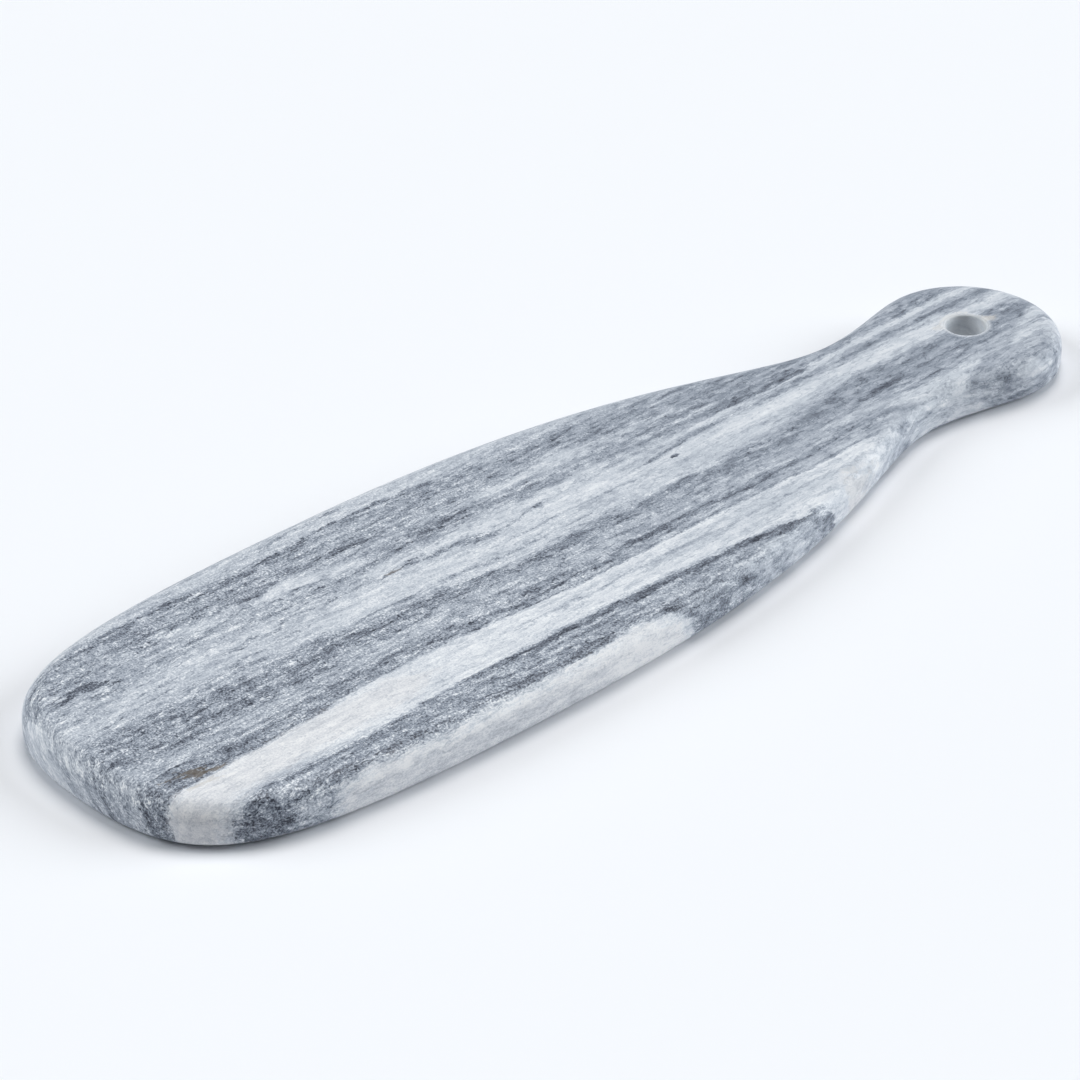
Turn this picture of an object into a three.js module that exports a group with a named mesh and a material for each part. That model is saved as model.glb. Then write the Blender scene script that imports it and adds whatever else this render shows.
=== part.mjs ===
// Marble serving board: a paddle-shaped stone slab with a hanging hole in its handle, on four stick-on feet.
// Millimetres, +Z up. The board lies along X with its handle towards +X and is symmetrical about the XZ plane.
// It stands on z = 0, with the origin under the middle of its length. Left is +Y.

import * as THREE from "three";

// Stone slab
const BOARD_LENGTH = 450;
const BOARD_THICKNESS = 15;
const BLADE_WIDTH = 135;
const WIDEST_FROM_FRONT = 149;
const NECK_WIDTH = 57;
const NECK_FROM_HANDLE_END = 83;
const GRIP_RADIUS = 35.5;
const TOP_EDGE_RADIUS = 6;
const BOTTOM_EDGE_RADIUS = 3;

// Hanging hole, concentric with the round end of the handle
const HOLE_DIAMETER = 15;
const HOLE_EDGE_RADIUS = 1.2;

// How far each curve of the outline follows its end directions, as a share of the curve's own run
const FRONT_FULLNESS = { leaving: 0.86, arriving: 0.83 };
const SHOULDER_FULLNESS = { leaving: 0.675, arriving: 0.165 };
const NECK_FULLNESS = { leaving: 0.415, arriving: 0.27 };

// Stick-on feet under the blade
const FOOT_DIAMETER = 14;
const FOOT_HEIGHT = 0.8;
const FOOT_EASED_EDGE = 0.25;
const ADHESIVE_DIAMETER = 13.4;
const ADHESIVE_THICKNESS = 0.2;
const FRONT_FEET_FROM_FRONT = 48;
const REAR_FEET_FROM_HANDLE_END = 152;
const FOOT_EDGE_MARGIN = 13;

// Facets
const FRONT_STEPS = 24;
const SHOULDER_STEPS = 24;
const NECK_STEPS = 10;
const GRIP_STEPS = 16;
const HOLE_STEPS = 48;
const EDGE_STEPS = 6;
const FOOT_STEPS = 40;

// Places that follow from the sizes above
const FRONT_X = -BOARD_LENGTH / 2;
const HANDLE_END_X = BOARD_LENGTH / 2;
const WIDEST_X = FRONT_X + WIDEST_FROM_FRONT;
const NECK_X = HANDLE_END_X - NECK_FROM_HANDLE_END;
const HOLE_X = HANDLE_END_X - GRIP_RADIUS;
const FRONT_FEET_X = FRONT_X + FRONT_FEET_FROM_FRONT;
const REAR_FEET_X = HANDLE_END_X - REAR_FEET_FROM_HANDLE_END;
const UNDERSIDE_Z = FOOT_HEIGHT + ADHESIVE_THICKNESS;
const TOP_Z = UNDERSIDE_Z + BOARD_THICKNESS;

const marble = new THREE.MeshStandardMaterial({ color: 0xa9aeb6, roughness: 0.5, metalness: 0 });
const silicone = new THREE.MeshStandardMaterial({ color: 0xc9cbc9, roughness: 0.6, metalness: 0 });
const adhesive = new THREE.MeshStandardMaterial({ color: 0xe4dfcf, roughness: 0.7, metalness: 0 });

// The right half of the outline, from the middle of the front end to the tip of the handle.
// Every joint between two curves lies at a widest or narrowest point, so the curves meet smoothly there.
function rightHalfCurves() {
  const front = new THREE.Vector2(FRONT_X, 0);
  const widest = new THREE.Vector2(WIDEST_X, -BLADE_WIDTH / 2);
  const neck = new THREE.Vector2(NECK_X, -NECK_WIDTH / 2);
  const grip = new THREE.Vector2(HOLE_X, -GRIP_RADIUS);
  const frontCurve = new THREE.CubicBezierCurve(
    front,
    new THREE.Vector2(front.x, widest.y * FRONT_FULLNESS.leaving),
    new THREE.Vector2(widest.x - WIDEST_FROM_FRONT * FRONT_FULLNESS.arriving, widest.y),
    widest,
  );
  return [
    { curve: frontCurve, steps: FRONT_STEPS },
    { curve: curveAlong(widest, neck, SHOULDER_FULLNESS), steps: SHOULDER_STEPS },
    { curve: curveAlong(neck, grip, NECK_FULLNESS), steps: NECK_STEPS },
    { curve: new THREE.ArcCurve(HOLE_X, 0, GRIP_RADIUS, -Math.PI / 2, 0, false), steps: GRIP_STEPS },
  ];
}

// A curve between two points that runs along X at both.
function curveAlong(start, end, fullness) {
  const run = end.x - start.x;
  return new THREE.CubicBezierCurve(
    start,
    new THREE.Vector2(start.x + run * fullness.leaving, start.y),
    new THREE.Vector2(end.x - run * fullness.arriving, end.y),
    end,
  );
}

// The whole outline, anticlockwise from above: points, each with the direction that points out of the stone.
function boardRim() {
  const right = rightHalfCurves().flatMap(({ curve, steps }) =>
    Array.from({ length: steps }, (_, step) => {
      const along = curve.getTangentAt(step / steps);
      return { point: curve.getPointAt(step / steps), outward: new THREE.Vector2(along.y, -along.x) };
    }),
  );
  const tip = { point: new THREE.Vector2(HANDLE_END_X, 0), outward: new THREE.Vector2(1, 0) };
  const acrossBoard = ({ x, y }) => new THREE.Vector2(x, -y);
  const left = right
    .slice(1)
    .reverse()
    .map(({ point, outward }) => ({ point: acrossBoard(point), outward: acrossBoard(outward) }));
  return [...right, tip, ...left];
}

// The hole's wall, clockwise from above, so that its outward directions point to the hole's axis.
function holeRim() {
  return Array.from({ length: HOLE_STEPS }, (_, step) => {
    const angle = (-2 * Math.PI * step) / HOLE_STEPS;
    const fromAxis = new THREE.Vector2(Math.cos(angle), Math.sin(angle));
    return {
      point: fromAxis.clone().multiplyScalar(HOLE_DIAMETER / 2).add(new THREE.Vector2(HOLE_X, 0)),
      outward: fromAxis.negate(),
    };
  });
}

// Rings of points that climb a rim from the underside to the top, round its bottom and top edges.
function rimRings(rim, bottomRadius, topRadius) {
  const ringAt = (inset, z) =>
    rim.map(({ point, outward }) => {
      const { x, y } = point.clone().addScaledVector(outward, -inset);
      return new THREE.Vector3(x, y, z);
    });
  const angles = Array.from({ length: EDGE_STEPS + 1 }, (_, step) => (Math.PI / 2) * (step / EDGE_STEPS));
  const bottom = angles.map((angle) =>
    ringAt(bottomRadius * (1 - Math.sin(angle)), UNDERSIDE_Z + bottomRadius * (1 - Math.cos(angle))),
  );
  const top = angles.map((angle) =>
    ringAt(topRadius * (1 - Math.cos(angle)), TOP_Z - topRadius * (1 - Math.sin(angle))),
  );
  return [...bottom, ...top];
}

// A closed solid lofted through the rings of its outer rim and of a hole, with flat faces above and below.
function loftedSlab(outerRings, holeRings) {
  const vertices = [];
  const triangles = [];
  const addRing = (ring) => ring.map((vertex) => vertices.push(vertex) - 1);
  const addWall = (rings) => {
    const numbered = rings.map(addRing);
    numbered.slice(1).forEach((upper, level) => {
      const lower = numbered[level];
      lower.forEach((here, i) => {
        const next = (i + 1) % lower.length;
        triangles.push([here, lower[next], upper[next]], [here, upper[next], upper[i]]);
      });
    });
    return { bottom: numbered[0], top: numbered.at(-1) };
  };
  const addFace = (outer, hole, order) => {
    const flat = (ring) => ring.map((i) => new THREE.Vector2(vertices[i].x, vertices[i].y));
    const numbers = [...outer, ...hole];
    for (const corners of THREE.ShapeUtils.triangulateShape(flat(outer), [flat(hole)])) {
      triangles.push(order.map((corner) => numbers[corners[corner]]));
    }
  };
  const outer = addWall(outerRings);
  const hole = addWall(holeRings);
  addFace(outer.top, hole.top, [0, 1, 2]);
  addFace(outer.bottom, hole.bottom, [0, 2, 1]);

  const geometry = new THREE.BufferGeometry().setFromPoints(vertices);
  geometry.setIndex(triangles.flat());
  geometry.computeVertexNormals();
  return geometry;
}

// Half the board's width at a place along it, read off the outline.
function halfWidthAt(x) {
  const side = boardRim().map(({ point }) => point).filter(({ y }) => y <= 0);
  const after = side.findIndex((point) => point.x >= x);
  const [start, end] = [side[after - 1], side[after]];
  return -THREE.MathUtils.mapLinear(x, start.x, end.x, start.y, end.y);
}

function disc(profile) {
  const points = profile.map(([radius, height]) => new THREE.Vector2(radius, height));
  return new THREE.LatheGeometry(points, FOOT_STEPS).rotateX(Math.PI / 2);
}

function footGeometry() {
  const radius = FOOT_DIAMETER / 2;
  return disc([
    [0, 0],
    [radius - FOOT_EASED_EDGE, 0],
    [radius, FOOT_EASED_EDGE],
    [radius, FOOT_HEIGHT],
    [0, FOOT_HEIGHT],
  ]);
}

function adhesiveGeometry() {
  const radius = ADHESIVE_DIAMETER / 2;
  return disc([
    [0, 0],
    [radius, 0],
    [radius, ADHESIVE_THICKNESS],
    [0, ADHESIVE_THICKNESS],
  ]);
}

function namedMesh(name, geometry, material) {
  const mesh = new THREE.Mesh(geometry, material);
  mesh.name = name;
  return mesh;
}

function marbleSlab() {
  const outerRings = rimRings(boardRim(), BOTTOM_EDGE_RADIUS, TOP_EDGE_RADIUS);
  const holeRings = rimRings(holeRim(), HOLE_EDGE_RADIUS, HOLE_EDGE_RADIUS);
  return namedMesh("marble_slab", loftedSlab(outerRings, holeRings), marble);
}

// One foot with the disc of adhesive that holds it to the stone, its rim clear of the slab's edge.
function stuckFoot(corner, x, side) {
  const assembly = new THREE.Group();
  const foot = namedMesh(`foot_${corner}`, footGeometry(), silicone);
  const glue = namedMesh(`adhesive_${corner}`, adhesiveGeometry(), adhesive);
  glue.position.z = FOOT_HEIGHT;
  assembly.add(foot, glue);
  assembly.position.set(x, side * (halfWidthAt(x) - FOOT_EDGE_MARGIN - FOOT_DIAMETER / 2), 0);
  return assembly;
}

const board = new THREE.Group();
board.add(marbleSlab());
for (const [end, x] of [["front", FRONT_FEET_X], ["rear", REAR_FEET_X]]) {
  board.add(stuckFoot(`${end}_left`, x, 1), stuckFoot(`${end}_right`, x, -1));
}

export default board;
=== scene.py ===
"""Looks of a marble serving board on stick-on feet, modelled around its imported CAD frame.

Lengths are metres in the frame of the CAD model: +X runs to the tip of the handle, +Y to the board's
left and +Z up. The veins of the stone are laid out in millimetres, along the board from the middle of
its front end and across it from its middle line.
"""

import logging
import math
from dataclasses import dataclass, field
from enum import Enum
from typing import Any, Callable, NamedTuple, Optional, Sequence, Union

import bpy
from mathutils import Matrix, Vector


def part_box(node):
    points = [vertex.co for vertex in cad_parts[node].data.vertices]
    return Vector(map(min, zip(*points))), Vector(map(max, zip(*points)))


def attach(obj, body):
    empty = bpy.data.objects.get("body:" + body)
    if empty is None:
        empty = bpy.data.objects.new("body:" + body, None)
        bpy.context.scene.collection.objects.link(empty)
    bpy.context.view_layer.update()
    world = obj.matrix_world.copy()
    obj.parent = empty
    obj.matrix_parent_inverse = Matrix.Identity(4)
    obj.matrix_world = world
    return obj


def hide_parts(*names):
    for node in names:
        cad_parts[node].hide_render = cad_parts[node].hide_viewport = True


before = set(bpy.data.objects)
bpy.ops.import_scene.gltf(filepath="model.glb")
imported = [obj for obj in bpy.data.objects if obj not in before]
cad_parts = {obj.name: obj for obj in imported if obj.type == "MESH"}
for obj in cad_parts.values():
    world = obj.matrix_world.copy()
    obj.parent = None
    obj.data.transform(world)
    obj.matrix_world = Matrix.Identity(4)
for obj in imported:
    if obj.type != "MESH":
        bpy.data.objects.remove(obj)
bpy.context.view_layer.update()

LOG = logging.getLogger("serving_board")
BODY = "root"
MILLIMETRE = 0.001

# Handle of a curve point that makes a quarter of a circle, as a share of the radius
CIRCLE_HANDLE = 0.5523

# Two places closer than this are the same
TOUCH = 1e-5

# Profile of a bevel that rounds an edge, and the steepest edge that is shaded smooth
ROUND_PROFILE = 0.5
SMOOTH_UP_TO = math.radians(35)

Colour = tuple[float, float, float]
ScreenColour = tuple[int, int, int]
Pair = tuple[float, float]


def linear(red: int, green: int, blue: int) -> Colour:
    """Turns a screen colour into scene light.

    Args:
        red: Red on the screen, 0 to 255.
        green: Green on the screen, 0 to 255.
        blue: Blue on the screen, 0 to 255.

    Returns:
        The same colour as linear red, green and blue, 0 to 1.
    """

    def channel(value: int) -> float:
        """Undoes the screen's curve on one channel."""
        share = value / 255
        return share / 12.92 if share <= 0.04045 else ((share + 0.055) / 1.055) ** 2.4

    return channel(red), channel(green), channel(blue)


def arithmetic(operation: str, reflected: bool = False) -> Callable[["Wire", "Value"], "Wire"]:
    """Makes one of the operators of wires.

    Args:
        operation: What its Math node does.
        reflected: Whether the wire stands after the operator.

    Returns:
        The operator.
    """

    def combine(wire: "Wire", other: "Value") -> "Wire":
        """Adds a Math node over a wire and another value."""
        values = (other, wire) if reflected else (wire, other)
        return wire.graph.math(operation, *values)

    return combine


class Wire:
    """An output socket of a shader node, with arithmetic that adds Math nodes."""

    def __init__(self, graph: "NodeGraph", socket: bpy.types.NodeSocket) -> None:
        """Keeps the socket and the graph that it belongs to."""
        self.graph = graph
        self.socket = socket

    __add__ = arithmetic("ADD")
    __radd__ = arithmetic("ADD", reflected=True)
    __sub__ = arithmetic("SUBTRACT")
    __rsub__ = arithmetic("SUBTRACT", reflected=True)
    __mul__ = arithmetic("MULTIPLY")
    __rmul__ = arithmetic("MULTIPLY", reflected=True)
    __truediv__ = arithmetic("DIVIDE")
    __rtruediv__ = arithmetic("DIVIDE", reflected=True)

    def __abs__(self) -> "Wire":
        """Drops the sign of this value."""
        return self.graph.math("ABSOLUTE", self)


Value = Union[Wire, float]
Input = Union[Wire, float, Sequence[float]]


class NodeGraph:
    """The shader nodes of a material or a world under construction."""

    def __init__(self, owner: Union[bpy.types.Material, bpy.types.World]) -> None:
        """Empties the nodes of a material or a world.

        Args:
            owner: What the nodes belong to.
        """
        self.owner = owner
        owner.use_nodes = True
        self.tree = owner.node_tree
        self.tree.nodes.clear()

    @classmethod
    def of_material(cls, name: str) -> "NodeGraph":
        """Starts the nodes of a new material."""
        return cls(bpy.data.materials.new(name))

    def node(
        self,
        kind: str,
        settings: Optional[dict[str, Any]] = None,
        inputs: Optional[dict[Union[str, int], Input]] = None,
    ) -> bpy.types.Node:
        """Adds one node.

        Args:
            kind: The node's type.
            settings: Properties set first; stops fills a colour ramp and points a curve.
            inputs: Values or wires for its input sockets, by name or number.

        Returns:
            The new node.
        """
        made = self.tree.nodes.new(kind)
        for key, value in (settings or {}).items():
            if key == "stops":
                self._fill_ramp(made.color_ramp, value)
            elif key == "points":
                self._fill_curve(made.mapping, value)
            else:
                setattr(made, key, value)
        for key, value in (inputs or {}).items():
            self._plug(made.inputs[key], value)
        return made

    def out(self, node: bpy.types.Node, socket: Union[str, int] = 0) -> Wire:
        """Wraps an output socket of a node."""
        return Wire(self, node.outputs[socket])

    def math(self, operation: str, *values: Value) -> Wire:
        """Adds a Math node over the values."""
        node = self.node("ShaderNodeMath", {"operation": operation}, dict(enumerate(values)))
        return self.out(node)

    def place(self) -> Wire:
        """Reads where on the piece a point lies, in metres."""
        return self.out(self.node("ShaderNodeTexCoord"), "Object")

    def join(self, x: Value, y: Value, z: Value) -> Wire:
        """Joins three values into a vector."""
        return self.out(self.node("ShaderNodeCombineXYZ", None, {0: x, 1: y, 2: z}))

    def noise(self, place: Wire, detail: float, roughness: float, label: str) -> Wire:
        """Adds cloud noise with features about one unit across.

        Args:
            place: Where the noise is read.
            detail: How many finer layers it has.
            roughness: How strong the finer layers are.
            label: What the noise makes.

        Returns:
            Noise about zero, mostly between -0.5 and 0.5.
        """
        node = self.node(
            "ShaderNodeTexNoise",
            {"noise_dimensions": "3D", "label": label},
            {"Vector": place, "Scale": 1.0, "Detail": detail, "Roughness": roughness},
        )
        return self.out(node) - 0.5

    def smooth(self, value: Value, start: Value, end: Value) -> Wire:
        """Rises smoothly from 0 to 1 as a value goes from start to end."""
        node = self.node(
            "ShaderNodeMapRange",
            {"interpolation_type": "SMOOTHSTEP", "clamp": True},
            {"Value": value, "From Min": start, "From Max": end, "To Min": 0.0, "To Max": 1.0},
        )
        return self.out(node)

    # A Mix node repeats its sockets' names for every type of data, so they go by number
    def blend(self, share: Value, first: Value, second: Value) -> Wire:
        """Goes from one number to another as the share goes from 0 to 1."""
        settings = {"data_type": "FLOAT", "clamp_factor": True}
        return self.out(self.node("ShaderNodeMix", settings, {0: share, 2: first, 3: second}))

    def tint(self, share: Value, first: Input, second: Input) -> Wire:
        """Goes from one colour to another as the share goes from 0 to 1."""
        settings = {"data_type": "RGBA", "clamp_factor": True}
        return self.out(self.node("ShaderNodeMix", settings, {0: share, 6: first, 7: second}), 2)

    def finish(self, inputs: dict[str, Input], bump: Optional[Wire] = None, depth: float = 0.0) -> None:
        """Ends the material in a Principled shader.

        Args:
            inputs: The shader's sockets.
            bump: Height of the surface's fine relief as a share of its depth, if it has any.
            depth: Depth of that relief in metres.
        """
        if bump is not None:
            relief = self.node("ShaderNodeBump", None, {"Strength": 1.0, "Distance": depth, "Height": bump})
            inputs = {**inputs, "Normal": self.out(relief)}
        shader = self.node("ShaderNodeBsdfPrincipled", None, inputs)
        self.node("ShaderNodeOutputMaterial", None, {"Surface": self.out(shader)})

    def _plug(self, socket: bpy.types.NodeSocket, value: Input) -> None:
        """Links a wire to an input socket, or sets its value.

        Args:
            socket: The socket.
            value: A wire, a number, a vector or a colour without its alpha.
        """
        if isinstance(value, Wire):
            self.tree.links.new(value.socket, socket)
        elif socket.type == "RGBA" and len(value) == 3:
            socket.default_value = (*value, 1.0)
        else:
            socket.default_value = value

    @staticmethod
    def _fill_ramp(ramp: bpy.types.ColorRamp, stops: Sequence[tuple[float, Colour]]) -> None:
        """Gives a colour ramp its stops.

        Args:
            ramp: The colour ramp.
            stops: Place and colour of each stop.
        """
        while len(ramp.elements) < len(stops):
            ramp.elements.new(1.0)
        for element, (place, colour) in zip(ramp.elements, stops):
            element.position = place
            element.color = (*colour, 1.0)

    @staticmethod
    def _fill_curve(mapping: bpy.types.CurveMapping, points: Sequence[Pair]) -> None:
        """Gives a curve its points.

        Args:
            mapping: The curve's mapping.
            points: Places along and up the curve, both from 0 to 1.
        """
        curve = mapping.curves[0]
        while len(curve.points) < len(points):
            curve.points.new(1.0, 1.0)
        for point, place in zip(curve.points, points):
            point.location = place
        mapping.update()


class Tone(Enum):
    """Brightness of the stone as the eye sees it, from 0, black, to 1, white."""

    INK = 0.38
    GRAPHITE = 0.49
    SLATE = 0.595
    STEEL = 0.645
    ASH = 0.685
    SMOKE = 0.725
    MIST = 0.765
    PEARL = 0.81
    MILK = 0.845
    SNOW = 0.885
    CHALK = 0.94


class Pattern(Enum):
    """How a texture changes the stone's brightness."""

    CLOUD = "lighter and darker by turns"
    THREAD = "thin lines"
    FLECK = "separate spots"


Station = tuple[float, float, float]


@dataclass(frozen=True)
class Mark:
    """A layer or spot in the stone, which runs along the board.

    The path lists places along its middle line, in millimetres: how far along the board, how far across
    it, and half the mark's width there. Where the half width is negative the mark is gone, but for what
    its frayed edges leave. The blur is the width over which each edge fades, the fray how far its edges
    stray, and the cover how far it hides what lies under it, 0 to 1.
    """

    name: str
    blur: float
    fray: float
    cover: float
    path: tuple[Station, ...]


@dataclass(frozen=True)
class Vein(Mark):
    """A layer of one brightness."""

    tone: Tone


@dataclass(frozen=True)
class Stain(Mark):
    """A mark of another colour."""

    colour: ScreenColour


@dataclass(frozen=True)
class Texture:
    """Fine pattern of the stone, stretched along its layers, with sizes in millimetres.

    The amount is how far it changes the brightness. On white stone and at the handle only a share of it
    is left.
    """

    name: str
    pattern: Pattern
    along: float
    across: float
    detail: float
    amount: float
    left_on_white: float
    left_at_handle: float


@dataclass(frozen=True)
class Cloud:
    """Cloud noise in the stone, with its sizes along, across and down in millimetres."""

    name: str
    along: float
    across: float
    down: float
    detail: float
    strength: float
    roughness: float = 0.5

    def read(self, graph: NodeGraph, along: Wire, across: Wire, down: Wire) -> Wire:
        """Reads the noise at a place in the stone.

        Args:
            graph: The material.
            along: How far along the board the place is.
            across: How far across it.
            down: How far below its top face.

        Returns:
            Noise about zero, of the cloud's strength.
        """
        place = graph.join(along / self.along, across / self.across, down / self.down)
        return graph.noise(place, self.detail, self.roughness, self.name) * self.strength


class Spot(NamedTuple):
    """Where in the stone a point lies, in millimetres.

    Along is measured from the front end, across from the middle line, and depth down from the top face.
    The layer is the place across the board where the point's layer meets the top face.
    """

    along: Wire
    across: Wire
    depth: Wire
    layer: Wire


# Where every path ends, at the tip of the handle, and the half width of a mark that is gone by then
PATH_END = 450
GONE = -4


def whole_path(stations: tuple[Station, ...]) -> tuple[Station, ...]:
    """Carries a path on to the tip of the handle, straight and without its mark.

    Args:
        stations: Places along the middle line of a mark.

    Returns:
        The path, which is left as it is where it already reaches the tip.
    """
    along, across, _ = stations[-1]
    return stations if along == PATH_END else (*stations, (PATH_END, across, GONE))


def vein(name: str, tone: Tone, blur: float, fray: float, cover: float, *stations: Station) -> Vein:
    """Lays out one vein along its stations."""
    return Vein(name, blur, fray, cover, whole_path(stations), tone)


def stain(
    name: str, colour: ScreenColour, blur: float, fray: float, cover: float, *stations: Station
) -> Stain:
    """Lays out one stain along its stations."""
    return Stain(name, blur, fray, cover, whole_path(stations), colour)


ZONES = (
    vein("far dark zone", Tone.STEEL, 5.0, 4.0, 0.85,
         (0, 40, 8), (25, 43, 7), (50, 46, 8), (80, 45.5, 7.5), (110, 44.5, 7), (140, 45, 6.8),
         (170, 45, 6.5), (200, 43, 7), (230, 42, 6.5), (260, 38, 8), (290, 33, 8), (320, 28, 7),
         (345, 24, 5), (370, 24, 5), (450, 24, 5)),
    vein("dark layer behind the middle", Tone.STEEL, 5.0, 4.0, 0.65,
         (150, 28, -3), (172, 29, 3), (190, 28, 3), (215, 25, 3), (245, 24, 3.5), (275, 24.5, 5.5),
         (310, 23, 5.5), (335, 20, 3), (350, 19, 1), (360, 18, -3)),
    vein("middle light zone", Tone.PEARL, 6.0, 4.0, 0.82,
         (0, 13, 2), (14, 14, 1.5), (30, 15, 5), (60, 16, 7.6), (100, 13, 9.5), (130, 10.5, 10),
         (160, 10, 10.5), (180, 8, 11), (220, 8, 10.5), (250, 6, 10), (280, 5, 8.5), (300, 5, 8),
         (330, 5.5, 5.5), (360, 7, 4), (450, 7, 3)),
    vein("central dark band", Tone.SLATE, 4.0, 3.0, 0.92,
         (0, -3, 2), (8, -4, 6), (25, -5, 9), (50, -5.5, 8), (90, -5, 7), (105, -4.5, 6), (125, -6.5, 4),
         (160, -7, 3.5), (200, -10, 3.2), (250, -11, 2.8), (300, -12, 3), (345, -7, 7), (395, -7, 7),
         (430, -7, 4), (450, -6, 4)),
    vein("dark band over the main vein", Tone.SLATE, 4.0, 3.0, 0.85,
         (0, -27, 6), (8, -27.5, 5.5), (50, -26, 5), (100, -24, 3.8), (150, -24, 3.2), (200, -26, 2.6),
         (250, -25.5, 1.5), (300, -24.5, 1.2), (345, -24, 2), (365, -26, -3), (450, -26, -3)),
    vein("near dark zone", Tone.STEEL, 3.0, 3.0, 0.9,
         (0, -64, 5), (15, -62, 9.5), (40, -57, 7.5), (100, -56.5, 7.5), (150, -56, 8), (185, -58.5, 9),
         (200, -62, 12), (215, -64, 13), (240, -64, 12), (262, -63, 10), (275, -62, 8.6), (283, -62.5, 8),
         (288, -63, 7.4), (292, -64, 5.5), (297, -66, 2), (302, -66, -3), (450, -62, -4)),
    vein("grey end of the near side", Tone.SMOKE, 3.0, 3.0, 0.7,
         (226, -70, -3), (236, -67.5, 2.5), (244, -65, 5.5), (252, -62.5, 7), (262, -61, 7),
         (278, -60.5, 6.8), (288, -61.5, 6.8), (294, -64, 4), (298, -64, -3), (450, -62, -4)),
)

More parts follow.
